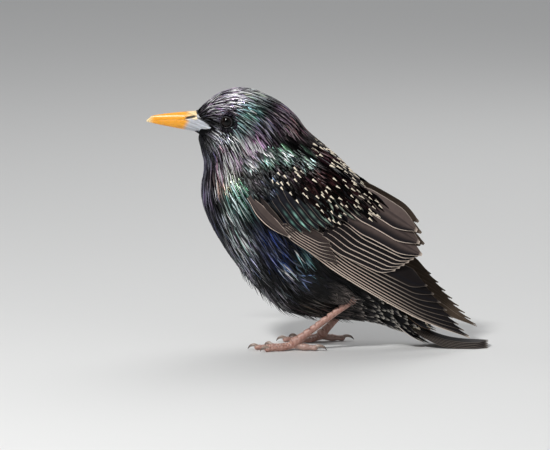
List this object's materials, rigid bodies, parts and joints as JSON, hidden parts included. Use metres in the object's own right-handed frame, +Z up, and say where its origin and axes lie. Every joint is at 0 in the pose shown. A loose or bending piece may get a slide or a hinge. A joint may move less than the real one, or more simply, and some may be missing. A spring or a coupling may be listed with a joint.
{
  "type": "starling",
  "caption": "Life-size still model of a starling standing alert, bill level, wings folded over the tail, tail laid on the ground.",
  "frame": {"origin": "middle of the bounding box in X and Y, on the ground that the feet and the tail rest on", "axes": "+Z up, the bill points to -X, the bird's left side is towards -Y"},
  "size_m": [0.1572, 0.053, 0.1194],
  "materials": {
    "plumage": "glossy black body feathers with green, purple and blue sheen and pale tips",
    "wing_feather": "dark brown flight feathers with pale buff edges",
    "tail_feather": "dark brown tail feathers with thin pale edges",
    "fluff": "soft grey-brown leg feathering",
    "bill_yellow": "smooth orange-yellow horn",
    "bill_base": "yellow horn turning blue-grey at the base",
    "eye": "wet, very dark brown",
    "leg_skin": "pinkish-brown scaly skin, slightly glossy",
    "claw": "horn, darker at the tips"
  },
  "bodies": {
    "root": {"head": "plumage", "neck": "plumage", "torso": "plumage", "tail": "tail_feather", "bill_upper": "bill_yellow", "bill_lower": "bill_base", "eye_left": "eye", "eye_right": "eye", "wing_left": "wing_feather", "wing_right": "wing_feather", "thigh_left": "fluff", "thigh_right": "fluff", "tarsus_left": "leg_skin", "tarsus_right": "leg_skin", "toe_middle_left": "leg_skin", "toe_middle_right": "leg_skin", "toe_inner_left": "leg_skin", "toe_inner_right": "leg_skin", "toe_outer_left": "leg_skin", "toe_outer_right": "leg_skin", "toe_hind_left": "leg_skin", "toe_hind_right": "leg_skin", "claw_middle_left": "claw", "claw_middle_right": "claw", "claw_inner_left": "claw", "claw_inner_right": "claw", "claw_outer_left": "claw", "claw_outer_right": "claw", "claw_hind_left": "claw", "claw_hind_right": "claw"}
  },
  "joints": []
}
